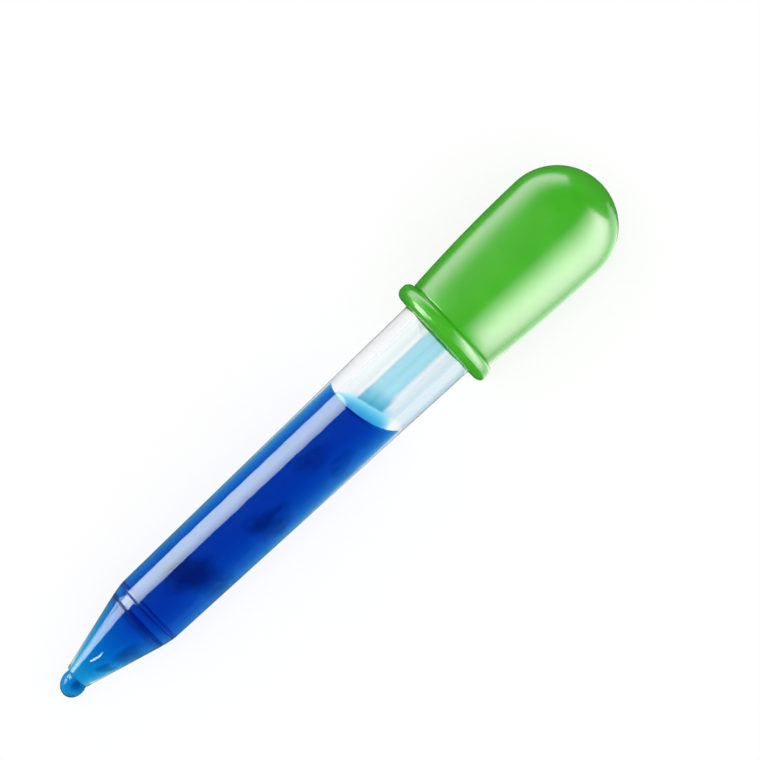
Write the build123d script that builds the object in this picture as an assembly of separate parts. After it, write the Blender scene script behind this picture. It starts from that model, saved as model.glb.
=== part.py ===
from build123d import *
import os
from math import asin, atan2, cos, degrees, hypot, sin, sqrt

os.makedirs("parts", exist_ok=True)

# A dropper: a clear moulded tube, a soft bulb stretched over its open end, and the liquid it holds.
# Each piece is turned about the X axis, with X measured from the mouth towards the bulb.
# At the end the whole dropper is laid on the plane Z = 0, where its flange and shoulder touch.
# All sizes are in millimetres.

# ---- Tube -----------------------------------------------------------------------------------
TUBE_LENGTH = 91.0
TUBE_WALL = 1.25  # at the shoulder
TIP_OD = 4.3
TIP_EDGE_RADIUS = 0.25
MOUTH_BORE = 3.2
MOUTH_LAND = 1.0  # straight length of the mouth's bore
CONE_LENGTH = 13.6
SHOULDER_LENGTH = 2.0  # the band between the cone and the barrel
SHOULDER_RISE = 0.38  # from the cone's wide end up to the barrel
BARREL_OD = 12.25  # at the shoulder
BARREL_SPREAD = 2.45  # how much wider the barrel is at its open end, by the mould's draft
BORE_SPREAD = 0.2  # how much wider the bore is there, by its core's smaller draft
RING_GROOVE_WIDTH = 0.4
RING_GROOVE_DEPTH = 0.12
RIM_RADIUS = 0.35

# ---- Bulb -----------------------------------------------------------------------------------
BULB_LENGTH = 36.0
BULB_OVERLAP = 12.0  # length of tube inside the bulb
BULB_STRETCH_GAP = 0.0  # the bulb is stretched on, so it touches the tube
BULB_OD = 19.6  # at the start of the dome
BULB_WALL = 1.8
NECK_WALL = 1.4  # where the bulb is stretched over the tube
FLANGE_THICKNESS = 3.0
FLANGE_HEIGHT = 1.3  # above the neck
FLANGE_FLAT = 0.4  # width left between the two roundings of the flange's edge
LEAD_IN = 0.3
FLAT_SPOT_DEPTH = 0.08  # by which the soft flange yields where the dropper lies on it
FLAT_SPOT_HOLLOW = 0.02  # by which the flat spot's middle stays clear of what it lies on
FLAT_SPOT_STRIP = 0.25  # width of the level strip along each side of the flat spot

# ---- Liquid ---------------------------------------------------------------------------------
LIQUID_LEVEL = 60.9  # from the mouth to its hollow top, along the axis
HOLLOW_RADIUS = 1.5  # of the sphere that hollows the top, in bore radii
HOLLOW_SIDE = 0.27  # how far beside the axis that sphere's middle is, in bore radii
HOLLOW_RISE = 0.36  # how far above the axis it is, so that the liquid runs on along the underside
DROP_LENGTH = 3.5
DROP_BULGE = 0.2  # by which the drop is wider than its foot, on each side
DROP_LEAN = 15.0  # degrees
DROP_FOOT_MARGIN = 0.05  # between the drop's foot and the rounding of the tip

# ---- What follows from them -----------------------------------------------------------------
TIP_R = TIP_OD / 2
MOUTH_R = MOUTH_BORE / 2
BARREL_START = CONE_LENGTH + SHOULDER_LENGTH
CONE_END_R = BARREL_OD / 2 - SHOULDER_RISE
FLANGE_FRONT = TUBE_LENGTH - BULB_OVERLAP
FLANGE_MIDDLE = FLANGE_FRONT + FLANGE_THICKNESS / 2
FLANGE_BACK = FLANGE_FRONT + FLANGE_THICKNESS
FLANGE_EDGE_RADIUS = (FLANGE_THICKNESS - FLANGE_FLAT) / 2
DOME_R = BULB_OD / 2
DOME_START = FLANGE_FRONT + BULB_LENGTH - DOME_R
CAVITY_R = DOME_R - BULB_WALL


def barrel_radius(x):
    """Outer radius of the barrel, which widens evenly towards its open end."""
    share = (x - BARREL_START) / (TUBE_LENGTH - BARREL_START)
    return (BARREL_OD + share * BARREL_SPREAD) / 2


def bore_radius(x):
    """Inner radius of the barrel, whose wall is thicker towards the open end."""
    share = (x - BARREL_START) / (TUBE_LENGTH - BARREL_START)
    return (BARREL_OD + share * BORE_SPREAD) / 2 - TUBE_WALL


def socket_radius(x):
    """Inner radius of the bulb where it grips the barrel."""
    return barrel_radius(x) + BULB_STRETCH_GAP


NECK_R = socket_radius(FLANGE_MIDDLE) + NECK_WALL
FLANGE_R = NECK_R + FLANGE_HEIGHT


def turned(outline):
    """The solid that a half outline above the X axis makes when it is turned about that axis."""
    return revolve(outline, Axis.X)


def corner(outline, x, radius):
    """The outline's corner at a place along the axis and a distance from it."""
    return outline.vertices().sort_by_distance((x, radius, 0))[0]


def ring_groove(x, radius):
    """The V-shaped outline of a shallow groove that the mould's joint leaves round the tube."""
    half = RING_GROOVE_WIDTH / 2
    clear_of_wall = radius + RING_GROOVE_WIDTH
    return make_face(
        Polyline(
            (x, radius - RING_GROOVE_DEPTH),
            (x + half, radius),
            (x + half, clear_of_wall),
            (x - half, clear_of_wall),
            (x - half, radius),
            close=True,
        )
    )


def dropper_tube():
    """Cone, shoulder and barrel, moulded as one piece that is open at both ends."""
    outline = make_face(
        Polyline(
            (0, MOUTH_R),
            (0, TIP_R),
            (CONE_LENGTH, CONE_END_R),
            (BARREL_START, barrel_radius(BARREL_START)),
            (TUBE_LENGTH, barrel_radius(TUBE_LENGTH)),
            (TUBE_LENGTH, bore_radius(TUBE_LENGTH)),
            (BARREL_START, bore_radius(BARREL_START)),
            (MOUTH_LAND, MOUTH_R),
            close=True,
        )
    )
    rim = [
        corner(outline, TUBE_LENGTH, barrel_radius(TUBE_LENGTH)),
        corner(outline, TUBE_LENGTH, bore_radius(TUBE_LENGTH)),
    ]
    outline = fillet(rim, RIM_RADIUS)
    outline = fillet(corner(outline, 0, TIP_R), TIP_EDGE_RADIUS)
    outline -= ring_groove(CONE_LENGTH, CONE_END_R)
    outline -= ring_groove(BARREL_START, barrel_radius(BARREL_START))
    return turned(outline)


def flange_outline():
    """The rolled flange: flat towards the tip, with a rounded edge and a lead-in for the tube."""
    outline = make_face(
        Polyline(
            (FLANGE_FRONT, socket_radius(FLANGE_FRONT)),
            (FLANGE_FRONT, FLANGE_R),
            (FLANGE_BACK, FLANGE_R),
            (FLANGE_BACK, socket_radius(FLANGE_BACK)),
            close=True,
        )
    )
    edge = [corner(outline, FLANGE_FRONT, FLANGE_R), corner(outline, FLANGE_BACK, FLANGE_R)]
    outline = fillet(edge, FLANGE_EDGE_RADIUS)
    return chamfer(corner(outline, FLANGE_FRONT, socket_radius(FLANGE_FRONT)), LEAD_IN)


def squeeze_bulb():
    """The soft bulb: a rolled flange, a slightly barrelled side and a round dome, hollow throughout."""
    tube_end = (TUBE_LENGTH, socket_radius(TUBE_LENGTH))
    walls = Curve() + [
        TangentArc((DOME_START, DOME_R), (FLANGE_MIDDLE, NECK_R), tangent=(-1, 0)),
        Line((FLANGE_MIDDLE, NECK_R), (FLANGE_MIDDLE, socket_radius(FLANGE_MIDDLE))),
        Line((FLANGE_MIDDLE, socket_radius(FLANGE_MIDDLE)), tube_end),
        TangentArc((DOME_START, CAVITY_R), tube_end, tangent=(-1, 0)),
        CenterArc((DOME_START, 0), CAVITY_R, start_angle=0, arc_size=90),
        Line((DOME_START + CAVITY_R, 0), (DOME_START + DOME_R, 0)),
        CenterArc((DOME_START, 0), DOME_R, start_angle=0, arc_size=90),
    ]
    return turned(make_face(walls) + flange_outline())


def hanging_drop():
    """The drop at the mouth: an egg that leans to one side, cut flat by the face of the tip."""
    foot_r = TIP_R - TIP_EDGE_RADIUS - DROP_FOOT_MARGIN
    half_width = foot_r + DROP_BULGE
    foot_share = sqrt(1 - (foot_r / half_width) ** 2)
    half_length = DROP_LENGTH / (1 + foot_share)
    middle = -half_length * foot_share
    egg = Curve() + [
        EllipticalCenterArc((middle, 0), half_length, half_width, arc_size=180),
        Line((middle - half_length, 0), (middle + half_length, 0)),
    ]
    leaning = turned(make_face(egg)).rotate(Axis.Z, DROP_LEAN)
    return split(leaning, Plane.YZ, keep=Keep.BOTTOM)


def blue_liquid():
    """The liquid that fills the tube up to a hollow, tilted top, with the drop that it has let out."""
    bore = bore_radius(LIQUID_LEVEL)
    hollow_r = HOLLOW_RADIUS * bore
    side, rise = HOLLOW_SIDE * bore, HOLLOW_RISE * bore
    hollow_middle = LIQUID_LEVEL + sqrt(hollow_r**2 - side**2 - rise**2)
    column = make_face(
        Polyline(
            (0, 0),
            (0, MOUTH_R),
            (MOUTH_LAND, MOUTH_R),
            (BARREL_START, bore_radius(BARREL_START)),
            (hollow_middle, bore_radius(hollow_middle)),
            (hollow_middle, 0),
            close=True,
        )
    )
    hollow = Pos(hollow_middle, side, rise) * Sphere(hollow_r)
    return turned(column) - hollow + hanging_drop()


# ---- How the dropper lies -------------------------------------------------------------------
FRONT_REST_X = BARREL_START + RING_GROOVE_WIDTH / 2
FRONT_REST_R = barrel_radius(FRONT_REST_X)


def tilt_onto(x, radius, rounding):
    """Tilt at which the shoulder's edge and a yielding edge of the bulb meet one plane, in radians."""
    run = x - FRONT_REST_X
    rise = radius - FRONT_REST_R
    return atan2(rise, run) + asin((rounding - FLAT_SPOT_DEPTH) / hypot(rise, run))


def lying():
    """The move that lays the dropper down on its shoulder and on the flange or the dome."""
    edge_x = FLANGE_FRONT + FLANGE_EDGE_RADIUS
    edge_r = FLANGE_R - FLANGE_EDGE_RADIUS
    on_flange = tilt_onto(edge_x, edge_r, FLANGE_EDGE_RADIUS)
    on_dome = tilt_onto(DOME_START, 0, DOME_R)
    tilt = max(on_flange, on_dome)
    lift = FRONT_REST_R * cos(tilt) - FRONT_REST_X * sin(tilt)
    return Pos(0, 0, lift) * Rot(0, -degrees(tilt), 0)


def flat_spot_hollow():
    """What is taken out of the flat spot's middle, so that the dropper bears on its two sides."""
    half_width = sqrt(2 * FLANGE_R * FLAT_SPOT_DEPTH) - FLAT_SPOT_STRIP
    across = Polyline(
        (-half_width, 0), (0, FLAT_SPOT_HOLLOW), (half_width, 0), (0, -half_width), close=True
    )
    return extrude(make_face(Plane.YZ * across), TUBE_LENGTH, both=True)


def main():
    # The bulb is cut level where it lies, which leaves the small flat spot on its flange.
    level_bulb = split(lying() * squeeze_bulb(), Plane.XY, keep=Keep.TOP)
    laid = {
        "dropper_tube": lying() * dropper_tube(),
        "squeeze_bulb": level_bulb - flat_spot_hollow(),
        "blue_liquid": lying() * blue_liquid(),
    }
    # The origin goes under the middle of the dropper's length.
    boxes = [solid.bounding_box() for solid in laid.values()]
    middle = (min(box.min.X for box in boxes) + max(box.max.X for box in boxes)) / 2
    for name, solid in laid.items():
        export_step(Pos(-middle, 0, 0) * solid, f"parts/{name}.step")


main()
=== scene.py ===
"""The dropper pipette's looks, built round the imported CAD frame.

Every outline is given as part.py gives it: (x, radius) in millimetres, with x measured along
the dropper's own axis from the mouth. The meshes are then laid down as the CAD lies, in metres.
"""

import math

import bpy
from mathutils import Matrix, Vector


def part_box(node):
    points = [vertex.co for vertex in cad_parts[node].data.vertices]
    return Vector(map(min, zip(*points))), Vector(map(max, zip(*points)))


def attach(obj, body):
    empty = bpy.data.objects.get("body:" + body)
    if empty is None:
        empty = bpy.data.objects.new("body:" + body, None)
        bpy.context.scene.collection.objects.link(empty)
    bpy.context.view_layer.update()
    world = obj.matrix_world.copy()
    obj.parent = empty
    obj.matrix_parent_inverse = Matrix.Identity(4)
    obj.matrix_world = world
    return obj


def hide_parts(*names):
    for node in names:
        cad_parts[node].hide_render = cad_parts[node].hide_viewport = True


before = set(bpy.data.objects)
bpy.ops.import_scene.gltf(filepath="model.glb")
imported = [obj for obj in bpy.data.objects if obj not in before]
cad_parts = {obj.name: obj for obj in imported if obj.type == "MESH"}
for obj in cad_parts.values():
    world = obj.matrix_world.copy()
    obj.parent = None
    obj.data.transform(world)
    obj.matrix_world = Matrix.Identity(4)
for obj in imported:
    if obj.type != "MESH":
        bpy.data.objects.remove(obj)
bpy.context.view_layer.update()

# ---- Sizes of the CAD model, in millimetres ---------------------------------------------------
TUBE_LENGTH = 91.0
TUBE_WALL = 1.25
TIP_R = 2.15
TIP_EDGE_RADIUS = 0.25
MOUTH_R = 1.6
MOUTH_LAND = 1.0
MOUTH_ROUNDING = 0.5
CONE_LENGTH = 13.6
CONE_END_R = 5.745
BARREL_START = 15.6
BARREL_R = 6.125
BARREL_SPREAD = 1.225
BORE_SPREAD = 0.1
BORE_ROUNDING = 0.6
RING_GROOVE_WIDTH = 0.4
RIM_RADIUS = 0.35

FLANGE_FRONT = 79.0
FLANGE_THICKNESS = 3.0
FLANGE_MIDDLE = FLANGE_FRONT + FLANGE_THICKNESS / 2
FLANGE_BACK = FLANGE_FRONT + FLANGE_THICKNESS
FLANGE_EDGE_RADIUS = 1.3
FLANGE_HEIGHT = 1.3
NECK_WALL = 1.4
LEAD_IN = 0.3
DOME_R = 9.8
DOME_START = 105.2
CAVITY_R = 8.0
FLAT_SPOT_DEPTH = 0.08

LIQUID_LEVEL = 60.9
HOLLOW_RADIUS = 1.5  # this and the next two are in bore radii at that level
HOLLOW_SIDE = 0.27
HOLLOW_RISE = 0.36
DROP_LENGTH = 3.5
DROP_BULGE = 0.2
DROP_LEAN = math.radians(15)
DROP_FOOT_R = 1.85

# ---- What the looks add to them ---------------------------------------------------------------
SEEN_GROOVE_DEPTH = 0.06  # half of the CAD's, because moulding leaves the grooves' edges soft
GROOVE_ROUNDING = 0.1
CREASE_START = 0.3  # the neck stops this far from the bead, for the fine crease between them
CREASE = [(0.12, 0.02), (0.02, 0.1)]  # the crease's points: how far from the bead, and how deep
SLOPING_REACH = 8.0  # how far from the liquid's top the bore's rings slope as its edge does
FILM = 0.01  # gap left between the liquid's skin and the plastic that it wets

TURNS = 192  # segments round the axis
ANGLES = [2 * math.pi * k / TURNS for k in range(TURNS)]
FACET = math.radians(11)  # the widest turn between two rings on a rounded corner
LONGEST_STEP = 2.5  # the longest run between two rings
HOLD = 0.05  # a long run has a ring this close to each end, which keeps its shading straight
SIDE_STEPS = 40
DOME_STEPS = 28
BEAD_STEPS = 12
HOLLOW_STEPS = 24
DROP_STEPS = 36
LEVEL_STEPS = 12
LEVEL_REACH = 1.0  # the liquid's rings begin to slope this far below its top's lowest edge
TOP_STEPS = 40


def barrel_radius(x):
    share = (x - BARREL_START) / (TUBE_LENGTH - BARREL_START)
    return BARREL_R + share * BARREL_SPREAD


def bore_radius(x):
    share = (x - BARREL_START) / (TUBE_LENGTH - BARREL_START)
    return BARREL_R - TUBE_WALL + share * BORE_SPREAD


NECK_R = barrel_radius(FLANGE_MIDDLE) + NECK_WALL
FLANGE_R = NECK_R + FLANGE_HEIGHT


# ---- The liquid's hollow top ------------------------------------------------------------------
def hollow_top(y, z):
    """How far along the axis the hollow top lies."""
    bore = bore_radius(LIQUID_LEVEL)
    radius, side, rise = HOLLOW_RADIUS * bore, HOLLOW_SIDE * bore, HOLLOW_RISE * bore
    middle = LIQUID_LEVEL + math.sqrt(radius**2 - side**2 - rise**2)
    return middle - math.sqrt(radius**2 - (y - side) ** 2 - (z - rise) ** 2)


def contact(angle, inset=0.0):
    """Where the hollow top meets the bore's wall: its x and radius."""
    x = LIQUID_LEVEL
    for _ in range(30):  # each round brings it closer, and this many settle it
        r = bore_radius(x) - inset
        x = hollow_top(r * math.cos(angle), r * math.sin(angle))
    return x, r


# ---- Where the dropper lies -------------------------------------------------------------------
def lying():
    """The CAD's own laying-down move, on the shoulder and the flange's flat spot, in metres."""
    front_x = BARREL_START + RING_GROOVE_WIDTH / 2
    front_r = barrel_radius(front_x)
    run = FLANGE_FRONT + FLANGE_EDGE_RADIUS - front_x
    rise = FLANGE_R - FLANGE_EDGE_RADIUS - front_r
    sunk = FLANGE_EDGE_RADIUS - FLAT_SPOT_DEPTH
    tilt = math.atan2(rise, run) + math.asin(sunk / math.hypot(rise, run))
    lift = front_r * math.cos(tilt) - front_x * math.sin(tilt)
    # The dome is the part's far end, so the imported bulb's box says where the axis starts.
    far_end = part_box("squeeze_bulb")[1].x * 1000
    start = far_end - DOME_R - DOME_START * math.cos(tilt)
    return (
        Matrix.Scale(0.001, 4)
        @ Matrix.Translation((start, 0, lift))
        @ Matrix.Rotation(-tilt, 4, "Y")
    )


LAID = lying()


# ---- Outlines -----------------------------------------------------------------------------------
def arc_points(centre, radius, first, last, count):
    """Points of an arc from one angle to another, in degrees, both ends included."""
    points = []
    for i in range(count + 1):
        a = math.radians(first + (last - first) * i / count)
        points.append((centre[0] + radius * math.cos(a), centre[1] + radius * math.sin(a)))
    return points


def tangent_arc(start, end, count):
    """Points from start to end on the arc that leaves start along the axis."""
    dx, dr = end[0] - start[0], end[1] - start[1]
    radius = -(dx * dx + dr * dr) / (2 * dr)
    centre_r = start[1] - radius
    last = math.atan2(end[1] - centre_r, end[0] - start[0])
    return arc_points((start[0], centre_r), radius, 90, math.degrees(last), count)


def rounded(corners):
    """The open outline through (x, r, rounding) corners, where its two ends have no rounding."""
    points = []
    for i, (x, r, rounding) in enumerate(corners):
        if not rounding:
            points.append((x, r))
            continue
        at = Vector((x, r))
        before = Vector(corners[i - 1][:2]) - at
        after = Vector(corners[i + 1][:2]) - at
        before.normalize()
        after.normalize()
        half = before.angle(after) / 2
        reach = rounding / math.tan(half)
        centre = at + (before + after).normalized() * (rounding / math.sin(half))
        turn = math.pi - 2 * half
        count = max(3, math.ceil(turn / FACET))
        start = at + before * reach - centre
        end = at + after * reach - centre
        for k in range(count + 1):
            a = k / count * turn
            p = (start * math.sin(turn - a) + end * math.sin(a)) / math.sin(turn)
            points.append(tuple(centre + p))
    return points


def stepped(points):
    """The open outline with its long runs divided, and held straight near each of their ends."""
    made = []
    for (x0, r0), (x1, r1) in zip(points, points[1:]):
        length = math.hypot(x1 - x0, r1 - r0)
        shares = [0.0]
        if length > 5 * HOLD:
            count = math.ceil((length - 2 * HOLD) / LONGEST_STEP)
            inner = 1 - 2 * HOLD / length
            shares += [HOLD / length + inner * k / count for k in range(count + 1)]
        made += [(x0 + (x1 - x0) * s, r0 + (r1 - r0) * s) for s in shares]
    made.append(points[-1])
    return made


# ---- Meshes -------------------------------------------------------------------------------------
def piece(name, points, faces, node, sharp_angle=30.0):
    """A smooth mesh piece from points in the dropper's own frame, which stands for a CAD node."""
    mesh = bpy.data.meshes.new(name)
    mesh.from_pydata([LAID @ Vector(p) for p in points], [], faces)
    mesh.validate()
    mesh.update()
    mesh.polygons.foreach_set("use_smooth", [True] * len(mesh.polygons))
    mesh.set_sharp_from_angle(angle=math.radians(sharp_angle))
    made = bpy.data.objects.new(name, mesh)
    bpy.context.scene.collection.objects.link(made)
    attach(made, "root")
    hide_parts(node)
    return made


def ring(x, r):
    """A ring round the axis, or one point on it."""
    if r < 1e-9:
        return [(x, 0.0, 0.0)]
    return [(x, r * math.cos(a), r * math.sin(a)) for a in ANGLES]


def rings_to_faces(rings, closed):
    """Vertices and outward faces of rings of equal length, where a ring of one point is a pole."""
    points, starts = [], []
    for around in rings:
        starts.append(len(points))
        points += around
    faces = []
    pairs = [(i, i + 1) for i in range(len(rings) - 1)]
    if closed:
        pairs.append((len(rings) - 1, 0))
    for a, b in pairs:
        for k in range(TURNS):
            n = (k + 1) % TURNS
            a0, a1 = starts[a] + k, starts[a] + n
            b0, b1 = starts[b] + k, starts[b] + n
            if len(rings[a]) == 1:
                faces.append((starts[a], b1, b0))
            elif len(rings[b]) == 1:
                faces.append((a0, a1, starts[b]))
            else:
                faces.append((a0, a1, b1, b0))
    return points, faces


def make_tube():
    """The tube, with a second slot on the faces that the liquid wets."""
    half = RING_GROOVE_WIDTH / 2
    slope = (barrel_radius(BARREL_START) - CONE_END_R) / (BARREL_START - CONE_LENGTH)
    cone_slope = (CONE_END_R - TIP_R) / CONE_LENGTH
    level = (contact(math.radians(90))[0] + contact(math.radians(-90))[0]) / 2
    soft = GROOVE_ROUNDING
    dry = [
        (0, DROP_FOOT_R, 0),
        (0, TIP_R, TIP_EDGE_RADIUS),
        (CONE_LENGTH - half, CONE_END_R - half * cone_slope, soft),
        (CONE_LENGTH, CONE_END_R - SEEN_GROOVE_DEPTH, soft),
        (CONE_LENGTH + half, CONE_END_R + half * slope, soft),
        (BARREL_START - half, barrel_radius(BARREL_START) - half * slope, soft),
        (BARREL_START, barrel_radius(BARREL_START) - SEEN_GROOVE_DEPTH, soft),
        (BARREL_START + half, barrel_radius(BARREL_START + half), soft),
        (TUBE_LENGTH, barrel_radius(TUBE_LENGTH), RIM_RADIUS),
        (TUBE_LENGTH, bore_radius(TUBE_LENGTH), RIM_RADIUS),
        (level, bore_radius(level), 0),
    ]
    wet = [
        (level, bore_radius(level), 0),
        (BARREL_START, bore_radius(BARREL_START), BORE_ROUNDING),
        (MOUTH_LAND, MOUTH_R, MOUTH_ROUNDING),
        (0, MOUTH_R, 0),
        (0, DROP_FOOT_R, 0),
    ]
    # Each outline's last point is the other's first.
    dry = stepped(rounded(dry))[:-1]
    wet = stepped(rounded(wet))[:-1]
    rings = []
    for i, (x, r) in enumerate(dry + wet):
        on_bore = i >= len(dry) or (x > BARREL_START and r < bore_radius(x) + 1e-6)
        near = max(0.0, 1 - abs(x - level) / SLOPING_REACH) if on_bore else 0.0
        if not near:
            rings.append(ring(x, r))
            continue
        # Near the liquid's top the bore's rings slope as the top's edge does.
        sloping = []
        for a in ANGLES:
            at = x + (contact(a)[0] - level) * near
            sloping.append((at, bore_radius(at) * math.cos(a), bore_radius(at) * math.sin(a)))
        rings.append(sloping)
    points, faces = rings_to_faces(rings, closed=True)
    made = piece("clear_tube", points, faces, "dropper_tube")
    first_wet = len(dry) * TURNS
    slots = [int(i >= first_wet) for i in range(len(faces))]
    made.data.polygons.foreach_set("material_index", slots)
    return made


def make_bulb():
    """The bulb, from the dome's pole over the flange and back in to the hollow's pole."""
    side = tangent_arc((DOME_START, DOME_R), (FLANGE_MIDDLE, NECK_R), SIDE_STEPS)
    neck_at_back = min(side, key=lambda p: abs(p[0] - FLANGE_BACK))[1]
    outside = arc_points((DOME_START, 0), DOME_R, 0, 90, DOME_STEPS)[:-1]
    outside[0] = (DOME_START + DOME_R, 0.0)
    outside += [p for p in side if p[0] > FLANGE_BACK + CREASE_START]
    crease = [(FLANGE_BACK + behind, neck_at_back - depth) for behind, depth in CREASE]
    edge = FLANGE_EDGE_RADIUS
    bead = arc_points((FLANGE_BACK - edge, FLANGE_R - edge), edge, 0, 90, BEAD_STEPS)
    bead += arc_points((FLANGE_FRONT + edge, FLANGE_R - edge), edge, 90, 180, BEAD_STEPS)
    # The socket is as wide as the barrel that it grips.
    socket_end = (TUBE_LENGTH, barrel_radius(TUBE_LENGTH))
    socket = [
        (FLANGE_FRONT, barrel_radius(FLANGE_FRONT) + LEAD_IN),
        (FLANGE_FRONT + LEAD_IN, barrel_radius(FLANGE_FRONT + LEAD_IN)),
        socket_end,
    ]
    inner_side = tangent_arc((DOME_START, CAVITY_R), socket_end, HOLLOW_STEPS)[::-1]
    inner_dome = arc_points((DOME_START, 0), CAVITY_R, 90, 0, HOLLOW_STEPS)[1:]
    inner_dome[-1] = (DOME_START + CAVITY_R, 0.0)
    outline = outside + crease + bead + socket + inner_side[1:] + inner_dome
    rings = [ring(x, r) for x, r in stepped(outline)]
    points, faces = rings_to_faces(rings, closed=False)
    made = piece("soft_bulb", points, faces, "squeeze_bulb", 50)
    # The soft flange is flat where the dropper lies on it.
    for v in made.data.vertices:
        v.co.z = max(v.co.z, 0.0)
    return made


def drop_rings():
    """The drop: an egg about a leaning axis, cut where it stands on the tip's face."""
    half_width = DROP_FOOT_R + DROP_BULGE
    foot_share = math.sqrt(1 - (DROP_FOOT_R / half_width) ** 2)
    half_length = DROP_LENGTH / (1 + foot_share)
    middle = Matrix.Rotation(DROP_LEAN, 3, "Z") @ Vector((-half_length * foot_share, 0, 0))
    unlean = Matrix.Rotation(-DROP_LEAN, 3, "Z")

    def drop_point(away, angle):
        """The egg's point that lies so far round from its tip, and at that angle about the axis."""
        around = math.sin(away)
        way = Vector((-math.cos(away), around * math.cos(angle), around * math.sin(angle)))
        along = unlean @ way
        return middle + way / math.hypot(along.x / half_length, along.yz.length / half_width)

    def foot(angle):
        """How far round from its tip the egg comes down to the tip's face."""
        low, high = 0.5, math.pi
        for _ in range(40):
            mid = (low + high) / 2
            low, high = (mid, high) if drop_point(mid, angle).x < -FILM else (low, mid)
        return low

    feet = [foot(a) for a in ANGLES]
    rings = [[tuple(drop_point(0, 0))]]
    for i in range(1, DROP_STEPS + 1):
        rings.append([tuple(drop_point(i / DROP_STEPS * f, a)) for f, a in zip(feet, ANGLES)])
    return rings


def make_liquid():
    """The drop, the column and the hollow top as one closed skin, marked where it wets plastic."""
    rings = drop_rings()
    first_wet = len(rings) - 1
    start = min(contact(a)[0] for a in ANGLES) - LEVEL_REACH
    wall = [
        (-FILM, MOUTH_R - FILM, 0),
        (MOUTH_LAND, MOUTH_R - FILM, MOUTH_ROUNDING),
        (BARREL_START, bore_radius(BARREL_START) - FILM, BORE_ROUNDING),
        (start, bore_radius(start) - FILM, 0),
    ]
    rings += [ring(x, r) for x, r in stepped(rounded(wall))]
    edge = [(*contact(a, FILM), a) for a in ANGLES]
    for i in range(1, LEVEL_STEPS + 1):
        sloping = []
        for x, _, a in edge:
            at = start + (x - start) * i / LEVEL_STEPS
            r = bore_radius(at) - FILM
            sloping.append((at, r * math.cos(a), r * math.sin(a)))
        rings.append(sloping)
    last_wet = len(rings) - 1
    for i in range(TOP_STEPS - 1, 0, -1):
        share = i / TOP_STEPS
        flat = [(share * r * math.cos(a), share * r * math.sin(a)) for _, r, a in edge]
        rings.append([(hollow_top(y, z), y, z) for y, z in flat])
    rings.append([(hollow_top(0, 0), 0.0, 0.0)])
    points, faces = rings_to_faces(rings, closed=False)
    made = piece("liquid_charge", points, faces, "blue_liquid")
    wet_faces = range(first_wet * TURNS, last_wet * TURNS)
    wetting = made.data.attributes.new("wetting", "FLOAT", "FACE")
    wetting.data.foreach_set("value", [float(i in wet_faces) for i in range(len(faces))])
    return made


# ---- Nodes --------------------------------------------------------------------------------------
def new_material(name):
    mat = bpy.data.materials.new(name)
    mat.use_nodes = True
    mat.node_tree.nodes.clear()
    return mat


def add(tree, kind, settings=None, **inputs):
    """A node with its settings and inputs.

    An input is named, with _ for a space, or numbered i0, i1 and so on. Its value is a number, a
    colour, a vector or a socket to link.
    """
    made = tree.nodes.new(kind)
    for key, value in (settings or {}).items():
        setattr(made, key, value)
    for key, value in inputs.items():
        numbered = key[0] == "i" and key[1:].isdigit()
        socket = made.inputs[int(key[1:]) if numbered else key.replace("_", " ")]
        if isinstance(value, bpy.types.NodeSocket):
            tree.links.new(value, socket)
        else:
            socket.default_value = value
    return made


def math_node(tree, operation, *values):
    inputs = {f"i{i}": value for i, value in enumerate(values)}
    return add(tree, "ShaderNodeMath", {"operation": operation}, **inputs).outputs[0]


def mix_colour(tree, share, first, second):
    """The first colour where the share is 0, and the second where it is 1."""
    settings = {"data_type": "RGBA"}
    return add(tree, "ShaderNodeMix", settings, i0=share, i6=first, i7=second).outputs[2]


def ramp(tree, factor, stops):
    made = tree.nodes.new("ShaderNodeValToRGB")
    tree.links.new(factor, made.inputs[0])
    elements = made.color_ramp.elements
    while len(elements) < len(stops):
        elements.new(0.5)
    for element, (at, colour) in zip(elements, stops):
        element.position = at
        element.color = (*colour, 1)
    return made.outputs[0]


def map_range(tree, value, start, end):
    """0 at start and 1 at end, in a straight line."""
    return add(tree, "ShaderNodeMapRange", Value=value, i1=start, i2=end).outputs[0]


def smooth_step(tree, value, start, end, full=1.0):
    """0 at start and full at end, with a smooth rise between them."""
    settings = {"interpolation_type": "SMOOTHSTEP"}
    made = add(tree, "ShaderNodeMapRange", settings, Value=value, i1=start, i2=end, i4=full)
    return made.outputs[0]


def between(tree, value, low, high, soft):
    """1 where a value lies between low and high, with edges as soft as given, and 0 elsewhere."""
    rise = smooth_step(tree, value, low - soft, low)
    fall = smooth_step(tree, value, high + soft, high)
    return math_node(tree, "MULTIPLY", rise, fall)


def noise(tree, place, scale, detail, output="Fac"):
    inputs = {"Vector": place, "Scale": scale, "Detail": detail}
    return add(tree, "ShaderNodeTexNoise", **inputs).outputs[output]


def along_dropper(tree):
    """The place on the dropper in millimetres: x along the axis from the mouth, then y and z."""
    coords = add(tree, "ShaderNodeTexCoord").outputs["Object"]
    back = LAID.inverted()
    turned_back = add(
        tree,
        "ShaderNodeMapping",
        Vector=coords,
        Location=back.to_translation(),
        Rotation=back.to_euler(),
        Scale=back.to_scale(),
    )
    return turned_back.outputs[0]


def glass(tree, colour, roughness, ior, shine, **inputs):
    """A clear body's surface, where shine is the share of its plain reflection that is kept."""
    return add(
        tree,
        "ShaderNodeBsdfPrincipled",
        Base_Color=colour,
        Roughness=roughness,
        IOR=ior,
        Specular_Tint=(shine, shine, shine, 1),
        Transmission_Weight=1.0,
        **inputs,
    ).outputs[0]


def mix_surface(tree, share, first, second):
    return add(tree, "ShaderNodeMixShader", i0=share, i1=first, i2=second).outputs[0]


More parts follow.
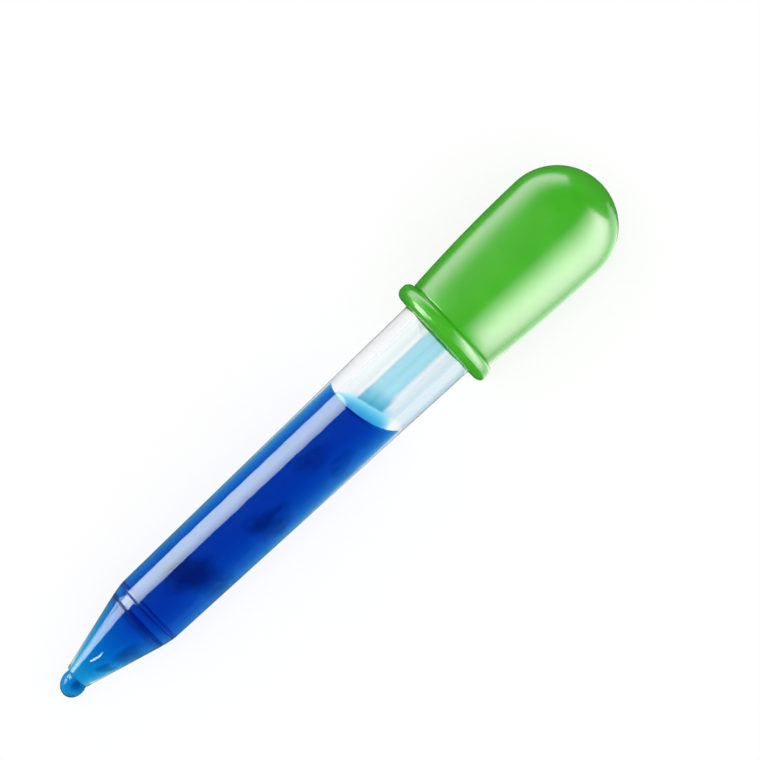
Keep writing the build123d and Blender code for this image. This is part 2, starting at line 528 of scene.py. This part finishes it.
def lamps_pass(tree, surface, tint):
    """A surface that lamps shine through with a tint, as through a clear body.

    Light Path does this for shadow rays only.
    """
    shadow = add(tree, "ShaderNodeLightPath").outputs["Is Shadow Ray"]
    clear = add(tree, "ShaderNodeBsdfTransparent", Color=(*tint, 1)).outputs[0]
    return mix_surface(tree, shadow, surface, clear)


# ---- The clear plastic --------------------------------------------------------------------------
PLASTIC_IOR = 1.5
LIQUID_IOR = 1.333
CLEAR = (0.985, 0.99, 0.995, 1)
PLASTIC_SHINE = 0.45
RIPPLE_SCALE = (0.06, 0.4, 0.4)  # moulding leaves faint ripples that run along the tube

# A film of the dye, with painted shade in it, clings to the dry plastic where the charge has run.
# It covers the underside, between these heights, and the side that faces -Y, from nothing to full.
# Its ends slope with y.
# Where three numbers are given, they say from where, to where, and how soft the edges are.
UNDERSIDE = (-6.0, -0.6, 0.4)
SIDE_EDGE = (-6.1, -6.4)
FILM_SLOPE = 0.25
FILM_AND_SHADE_ENDS = (LIQUID_LEVEL + 3, FLANGE_FRONT + 3, 0.6)

# The film's colours across the dropper, at y in millimetres, with painted shade in its grey bands
FILM_AND_SHADE_TINTS = [
    (-7.2, (0.60, 0.80, 0.92)),
    (-6.2, (0.60, 0.80, 0.92)),
    # Painted shade: these three draw a darker line along the bore's edge.
    (-5.6, (0.74, 0.85, 0.90)),
    (-4.3, (0.66, 0.79, 0.86)),
    (-3.8, (0.88, 0.91, 0.96)),
    (-2.9, (0.82, 0.90, 0.95)),
    (-2.1, (0.125, 0.49, 0.67)),
    (1.8, (0.125, 0.49, 0.67)),
    # Painted shade: these two grey the plastic under the bright strip, for a dark line along its
    # upper edge and to keep it from turning plain white.
    (2.2, (0.77, 0.81, 0.84)),
    (4.9, (0.77, 0.81, 0.84)),
    (5.3, (0.92, 0.94, 0.96)),
]
FILM_AND_SHADE_REACH = 7.2

# It is wettest next to the liquid, between these places along and across the dropper.
WETTEST = (0.02, 0.27, 0.47, 1)
WETTEST_ALONG = (LIQUID_LEVEL, LIQUID_LEVEL + 4.4, 2.4)
WETTEST_ACROSS = (-2.4, 1.6, 1.0)

# Painted shade in the two grooves of the shoulder's ring, from one x to another: dark blue, rough
# and barely reflecting.
GROOVE_SHADE = (0.01, 0.17, 0.50, 1)
GROOVE_SHADE_ROUGHNESS = 0.3
GROOVE_SHADE_SHINE = 0.02
FRONT_GROOVE = (CONE_LENGTH - 0.15, CONE_LENGTH + 0.12, 0.16)
BACK_GROOVE = (BARREL_START - 0.08, BARREL_START + 0.05, 0.14)


def clear_plastic(name, ior):
    """Clear moulded plastic, for faces on air or, with the lower ior, on the liquid."""
    mat = new_material(name)
    tree = mat.node_tree
    place = along_dropper(tree)
    xyz = add(tree, "ShaderNodeSeparateXYZ", Vector=place)
    x, y, z = (xyz.outputs[axis] for axis in "XYZ")
    drawn_out = add(tree, "ShaderNodeMapping", Vector=place, Scale=RIPPLE_SCALE).outputs[0]
    ripples = noise(tree, drawn_out, 1.0, 2.0)
    bump = add(tree, "ShaderNodeBump", Strength=0.01, Distance=0.00004, Height=ripples)

    under = between(tree, z, *UNDERSIDE)
    up_side = map_range(tree, y, *SIDE_EDGE)
    slanted = math_node(tree, "MULTIPLY_ADD", y, FILM_SLOPE, x)
    film_and_shade_mask = math_node(
        tree,
        "MULTIPLY",
        math_node(tree, "MAXIMUM", under, up_side),
        between(tree, slanted, *FILM_AND_SHADE_ENDS),
    )
    wettest = math_node(
        tree,
        "MULTIPLY",
        between(tree, slanted, *WETTEST_ALONG),
        between(tree, y, *WETTEST_ACROSS),
    )
    # The film's tint, with painted shade in its grey bands.
    across = map_range(tree, y, -FILM_AND_SHADE_REACH, FILM_AND_SHADE_REACH)
    places = [((at + FILM_AND_SHADE_REACH) / (2 * FILM_AND_SHADE_REACH), tint) for at, tint in FILM_AND_SHADE_TINTS]
    film_and_shade_colour = mix_colour(tree, wettest, ramp(tree, across, places), WETTEST)
    colour = mix_colour(tree, film_and_shade_mask, CLEAR, film_and_shade_colour)

    clear = glass(tree, colour, 0.0, ior, PLASTIC_SHINE, Normal=bump.outputs[0])
    # Painted shade: the grooves turn dark blue and keep almost none of their reflection.
    shaded_grooves = glass(tree, GROOVE_SHADE, GROOVE_SHADE_ROUGHNESS, ior, GROOVE_SHADE_SHINE)
    grooves = math_node(
        tree,
        "MAXIMUM",
        between(tree, x, *FRONT_GROOVE),
        between(tree, x, *BACK_GROOVE),
    )
    surface = mix_surface(tree, grooves, clear, shaded_grooves)
    lit_through = lamps_pass(tree, surface, (0.96, 0.97, 0.98))
    add(tree, "ShaderNodeOutputMaterial", Surface=lit_through)
    return mat


# ---- The liquid ---------------------------------------------------------------------------------
LIQUID_SHINE = 0.4
TAKEN_PER_MM = (1.5, 0.34, 0.10)  # how much red, green and blue each millimetre takes out
DYE_AND_SHADE_TINT = (0.5, 0.3, 0.44, 1)
SWIRL_SCALE = (0.22, 0.42, 0.42)
SWIRL_REACH = 4.0

# Darker clouds in the dye, and painted shade among them, in millimetres and degrees:
# x, y, half length, half width, slope, how strong, and how swirled
DYE_CLOUDS_AND_SHADE = [
    (24.6, -0.4, 4.6, 2.5, -25, 1.0, 1.0),
    (39.6, -1.75, 4.1, 1.4, -10, 0.9, 1.0),
    (51.4, 0.0, 3.6, 1.2, 0, 0.45, 1.0),
    (54.2, -3.1, 2.7, 0.7, 5, 0.5, 1.0),
    (28.3, -3.8, 2.2, 0.7, 0, 0.45, 1.0),
    (4.6, -1.4, 1.9, 0.4, -22, 0.9, 0.1),
    (8.9, -2.3, 3.0, 0.8, -14, 0.9, 0.2),
    # Painted shade: dark rings in the liquid under the shoulder's two grooves.
    (13.0, 0.3, 0.8, 5.4, 0, 0.5, 0.1),
    (15.2, 0.3, 0.45, 5.0, 0, 0.3, 0.1),
    # This wide faint one darkens the whole tip end.
    (0.0, 0.0, 6.0, 6.0, 0, 0.22, 0.0),
    # Painted shade: the mouth's dark opening seen through the drop, then the drop's dark lower
    # edge.
    (-0.8, -0.8, 1.2, 0.9, 0, 1.0, 0.1),
    (-2.7, -1.5, 1.3, 0.5, -52, 1.0, 0.0),
]
CLOUD_EDGE = (1.3, 0.3)  # in half sizes: nothing at the first, and full strength at the second
ENDLESS = 1e4  # half of a cloud's height, so that only x and y place it


def dye_clouds_and_shade(tree):
    """How much darker dye and painted shade lie here, from 0 to 1."""
    place = along_dropper(tree)
    drawn_out = add(tree, "ShaderNodeMapping", Vector=place, Scale=SWIRL_SCALE).outputs[0]
    swirl = noise(tree, drawn_out, 1.0, 2.0, "Color")
    total = None
    for x, y, half_length, half_width, slope, strength, swirled in DYE_CLOUDS_AND_SHADE:
        reach = SWIRL_REACH * swirled
        moved = add(
            tree,
            "ShaderNodeVectorMath",
            {"operation": "MULTIPLY_ADD"},
            i0=swirl,
            i1=(reach, reach, 0.0),
            i2=place,
        ).outputs[0]
        # The swirl moves each place by half its reach on average, and the cloud's middle with it.
        near = add(
            tree,
            "ShaderNodeMapping",
            {"vector_type": "TEXTURE"},
            Vector=moved,
            Location=(x + reach / 2, y + reach / 2, 0),
            Rotation=(0, 0, math.radians(slope)),
            Scale=(half_length, half_width, ENDLESS),
        ).outputs[0]
        away = add(tree, "ShaderNodeVectorMath", {"operation": "LENGTH"}, i0=near).outputs["Value"]
        cloud = smooth_step(tree, away, *CLOUD_EDGE, strength)
        total = cloud if total is None else math_node(tree, "MAXIMUM", total, cloud)
    return total


def blue_liquid():
    """The dyed liquid: it bends light where it meets air, and not where plastic meets it."""
    mat = new_material("blue_liquid")
    tree = mat.node_tree
    # The darker dye, with painted shade at the shoulder's grooves, the mouth and the drop's edge.
    colour = mix_colour(tree, dye_clouds_and_shade(tree), (1, 1, 1, 1), DYE_AND_SHADE_TINT)
    on_air, on_plastic = (glass(tree, colour, 0.0, i, LIQUID_SHINE) for i in (LIQUID_IOR, 1.0))
    wetting = add(tree, "ShaderNodeAttribute", {"attribute_name": "wetting"}).outputs["Fac"]
    skin = mix_surface(tree, wetting, on_air, on_plastic)
    density = max(TAKEN_PER_MM)
    absorbed = add(
        tree,
        "ShaderNodeVolumeAbsorption",
        Color=(*[1 - taken / density for taken in TAKEN_PER_MM], 1),
        Density=density * 1000,
    ).outputs[0]
    lit_through = lamps_pass(tree, skin, (1, 1, 1))
    add(tree, "ShaderNodeOutputMaterial", Surface=lit_through, Volume=absorbed)
    return mat


# ---- The silicone -------------------------------------------------------------------------------
SILICONE_GREENS = [(0.3, (0.044, 0.42, 0.010)), (0.7, (0.056, 0.46, 0.014))]


def green_silicone():
    mat = new_material("green_silicone")
    tree = mat.node_tree
    coords = add(tree, "ShaderNodeTexCoord").outputs["Object"]
    colour = ramp(tree, noise(tree, coords, 180.0, 3.0), SILICONE_GREENS)
    grain = noise(tree, coords, 2500.0, 2.0)
    bump = add(tree, "ShaderNodeBump", Strength=0.10, Distance=0.00005, Height=grain)
    body = add(
        tree,
        "ShaderNodeBsdfPrincipled",
        Base_Color=colour,
        Roughness=0.22,
        Specular_Tint=(1.0, 0.6, 0.95, 1),
        Normal=bump.outputs[0],
    )
    add(tree, "ShaderNodeOutputMaterial", Surface=body.outputs[0])
    return mat


# ---- Stage --------------------------------------------------------------------------------------
FLOOR_HALF = 4.0
FLOOR_DROP = 0.00005  # the floor lies this far under the dropper
FLOOR_WHITE_SHARE = 0.8  # how much of the floor's look is plain white, where it is seen
PAPER = (0.95, 0.95, 0.95, 1)
SKY_LIGHT = (0.72, 0.72, 0.72, 1)  # what lights the object

# The wall is white near the horizon, and the ceiling over the camera is dark in reflections.
MIRRORED = [(0.0, (0.3, 0.3, 0.3)), (0.15, (0.03, 0.03, 0.03))]
SEEN_THROUGH = [(0.1, (0.98, 0.98, 0.98)), (0.9, (0.75, 0.75, 0.75))]


def seen_directly(tree):
    """1 for camera, glossy and transmission rays, and 0 for the rays that light the object."""
    rays = add(tree, "ShaderNodeLightPath").outputs
    seen = math_node(tree, "MAXIMUM", rays["Is Camera Ray"], rays["Is Glossy Ray"])
    return math_node(tree, "MAXIMUM", seen, rays["Is Transmission Ray"])


def make_floor():
    corners = [(-1, -1), (1, -1), (1, 1), (-1, 1)]
    mesh = bpy.data.meshes.new("floor")
    mesh.from_pydata(
        [(x * FLOOR_HALF, y * FLOOR_HALF, -FLOOR_DROP) for x, y in corners],
        [],
        [(0, 1, 2, 3)],
    )
    floor = bpy.data.objects.new("floor", mesh)
    bpy.context.scene.collection.objects.link(floor)
    mat = new_material("floor")
    tree = mat.node_tree
    paper = add(tree, "ShaderNodeBsdfDiffuse", Color=PAPER).outputs[0]
    white = add(tree, "ShaderNodeEmission", Color=(1, 1, 1, 1), Strength=1.0).outputs[0]
    share = math_node(tree, "MULTIPLY", seen_directly(tree), FLOOR_WHITE_SHARE)
    surface = mix_surface(tree, share, paper, white)
    add(tree, "ShaderNodeOutputMaterial", Surface=surface)
    mesh.materials.append(mat)


def make_world():
    world = bpy.data.worlds.new("studio")
    bpy.context.scene.world = world
    world.use_nodes = True
    tree = world.node_tree
    tree.nodes.clear()
    way = add(tree, "ShaderNodeTexCoord").outputs["Generated"]
    height = add(tree, "ShaderNodeSeparateXYZ", Vector=way).outputs["Z"]
    mirrored = ramp(tree, height, MIRRORED)
    seen_through = ramp(tree, height, SEEN_THROUGH)
    through = add(tree, "ShaderNodeLightPath").outputs["Is Transmission Ray"]
    backdrop = mix_colour(tree, through, mirrored, seen_through)
    colour = mix_colour(tree, seen_directly(tree), SKY_LIGHT, backdrop)
    sky = add(tree, "ShaderNodeBackground", Color=colour, Strength=1.0).outputs[0]
    add(tree, "ShaderNodeOutputWorld", Surface=sky)


def make_lamp(name, place, size, power):
    """A square lamp that points at the origin and isn't seen itself."""
    data = bpy.data.lights.new(name, "AREA")
    data.shape = "SQUARE"
    data.size = size
    data.energy = power
    lamp = bpy.data.objects.new(name, data)
    lamp.location = place
    lamp.rotation_euler = (-Vector(place)).to_track_quat("-Z", "Y").to_euler()
    lamp.visible_camera = False
    lamp.visible_glossy = False
    bpy.context.scene.collection.objects.link(lamp)


# ---- Lights that only reflections see -----------------------------------------------------------
# They stand for windows beside the dropper, and draw the bright strips along it. Places are in
# metres.
WHITE = (1, 1, 1)
DAYLIGHT = (0.86, 1.0, 0.80)
SILICONE_SHEEN = (1.0, 0.84, 1.0)  # keeps the highlights on the green silicone pale
CARD_ROWS = 24
AXIS_HEIGHT = 0.008

# The bright strip along the tube is dimmer past the liquid's top, from this edge on.
STRIP_SEAM = ((-0.018, 32.6), (-0.0045, 85))

# Each card: its name, its side of Y, its two ends, its distance, its levels and its colour
CARDS = [
    (
        "strip_card",
        1,
        ((-0.09, 37), (-0.09, 98)),
        STRIP_SEAM,
        0.25,
        (15, 21, 29, 21, 16),
        DAYLIGHT,
    ),
    (
        "dry_strip_card",
        1,
        STRIP_SEAM,
        ((0.028, 30.5), (0.028, 80)),
        0.25,
        (4, 6, 8, 6, 5),
        DAYLIGHT,
    ),
    (
        "ring_card",
        1,
        ((-0.19, 50), (-0.155, 98)),
        ((-0.15, 50), (-0.11, 98)),
        0.25,
        (24, 28, 24),
        DAYLIGHT,
    ),
    (
        "cone_card",
        1,
        ((-0.30, 58), (-0.25, 92)),
        ((-0.19, 58), (-0.155, 92)),
        0.25,
        (14, 18, 17, 14),
        DAYLIGHT,
    ),
    (
        "near_card",
        1,
        ((-0.080, 89), (-0.080, 103)),
        ((-0.047, 89), (-0.047, 103)),
        0.02,
        (10, 8, 5),
        DAYLIGHT,
    ),
    # The dark part of this one also keeps the strips out of the bulb's reflections.
    (
        "upper_bulb_card",
        1,
        ((0.019, 8), (0.0235, 99)),
        ((0.09, 8), (0.09, 99)),
        0.028,
        (0, 0, 0, 0.3, 2.8, 5.5, 6, 2.5),
        SILICONE_SHEEN,
    ),
    (
        "lower_bulb_card",
        -1,
        ((0.0235, 12), (0.0248, 107)),
        ((0.09, 12), (0.09, 107)),
        0.028,
        (0, 5.5, 12, 15.5, 13.5, 9.5, 4.5, 1.2),
        SILICONE_SHEEN,
    ),
]

GLINT_HEIGHT = 0.238
GLINT_LEVEL = 34.0
GLINT_BEND = [
    ((-0.2586, 0.1070), (-0.2539, 0.0849)),
    ((-0.2515, 0.0751), (-0.2464, 0.0361)),
    ((-0.2459, 0.0412), (-0.2438, -0.0021)),
    ((-0.2431, 0.0185), (-0.2435, -0.0252)),
    ((-0.2420, 0.0177), (-0.2420, -0.0195)),
    ((-0.2416, 0.0284), (-0.2408, 0.0103)),
]


def strip_faces(pairs):
    """The faces of a strip whose points come in pairs, one pair for each crosswise edge."""
    return [(2 * i, 2 * i + 1, 2 * i + 3, 2 * i + 2) for i in range(pairs - 1)]


def reflected_only(name, points, faces, levels, colour=WHITE):
    """A stage light that is seen only as a reflection, with a strength for each of its points."""
    mesh = bpy.data.meshes.new(name)
    mesh.from_pydata(points, [], faces)
    shade = mesh.attributes.new("strength", "FLOAT", "POINT")
    shade.data.foreach_set("value", levels)
    card = bpy.data.objects.new(name, mesh)
    bpy.context.scene.collection.objects.link(card)
    mat = new_material(name)
    tree = mat.node_tree
    strength = add(tree, "ShaderNodeAttribute", {"attribute_name": "strength"}).outputs["Fac"]
    glow = add(tree, "ShaderNodeEmission", Color=(*colour, 1), Strength=strength).outputs[0]
    add(tree, "ShaderNodeOutputMaterial", Surface=glow)
    mesh.materials.append(mat)
    card.visible_camera = False
    card.visible_diffuse = False
    card.visible_transmission = False
    card.visible_shadow = False


def make_card(name, side, start, end, distance, levels, colour):
    """A long soft light beside the dropper, on the side +1 or -1 of Y.

    It is curved about the dropper's axis. start and end are its two ends, each as its top and
    bottom corners: (x, angle from the zenith in degrees). levels are its strengths from top to
    bottom.
    """
    points, strengths = [], []
    for i in range(CARD_ROWS + 1):
        share = i / CARD_ROWS
        for (x_top, top), (x_bottom, bottom) in (start, end):
            a = math.radians(top + (bottom - top) * share)
            x = x_top + (x_bottom - x_top) * share
            height = distance * math.cos(a) + AXIS_HEIGHT
            points.append((x, side * distance * math.sin(a), height))
        at = share * (len(levels) - 1)
        k = min(int(at), len(levels) - 2)
        strengths += [levels[k] + (levels[k + 1] - levels[k]) * (at - k)] * 2
    reflected_only(name, points, strip_faces(CARD_ROWS + 1), strengths, colour)


def make_glint():
    """A small bent strip light, which the cone reflects as a short curved glint."""
    points = [(x, y, GLINT_HEIGHT) for pair in GLINT_BEND for x, y in pair]
    levels = [GLINT_LEVEL] * len(points)
    reflected_only("glint_card", points, strip_faces(len(GLINT_BEND)), levels)


def make_flag(name, low, high, height, strength):
    """A level card just over the floor, which is reflected in place of the white floor."""
    corners = [(low[0], low[1]), (high[0], low[1]), (high[0], high[1]), (low[0], high[1])]
    points = [(x, y, height) for x, y in corners]
    reflected_only(name, points, [(0, 1, 2, 3)], [strength] * 4)


# ---- Camera -------------------------------------------------------------------------------------
SENSOR = 36.0
LENS = 150.0
COVERED = 121.4  # millimetres across the frame at the axis
AIMED_AT = (67.78, 1.49)  # x and y on the dropper in the middle of the frame
ROLL = -43.2  # degrees


def make_camera():
    """Square onto the dropper's axis from above, rolled so that it points up to the right."""
    data = bpy.data.cameras.new("camera")
    camera = bpy.data.objects.new("camera", data)
    bpy.context.scene.collection.objects.link(camera)
    bpy.context.scene.camera = camera
    data.sensor_width = SENSOR
    data.lens = LENS
    place = Matrix.Translation((*AIMED_AT, COVERED * LENS / SENSOR))
    placed = LAID @ place @ Matrix.Rotation(math.radians(ROLL), 4, "Z")
    camera.location = placed.to_translation()
    camera.rotation_euler = placed.to_euler()
    data.clip_start, data.clip_end = 0.01, 50.0


# ---- The scene ----------------------------------------------------------------------------------
tube = make_tube()
bulb = make_bulb()
liquid = make_liquid()
tube.data.materials.append(clear_plastic("clear_plastic", PLASTIC_IOR))
tube.data.materials.append(clear_plastic("wetted_plastic", PLASTIC_IOR / LIQUID_IOR))
bulb.data.materials.append(green_silicone())
liquid.data.materials.append(blue_liquid())

make_floor()
make_world()
make_lamp("key", (-0.10, 0.25, 0.82), 0.5, 1.85)
make_lamp("fill", (0.2, -0.35, 0.78), 0.6, 1.4)
for card in CARDS:
    make_card(*card)
make_glint()
make_flag("floor_flag", (-0.5, -0.5), (0.5, 0.5), 0.0001, 0.08)
make_flag("bulb_floor_card", (0.0235, -0.030), (0.09, -0.011), 0.0003, 2.0)
make_camera()
bpy.context.scene.view_settings.view_transform = "Standard"
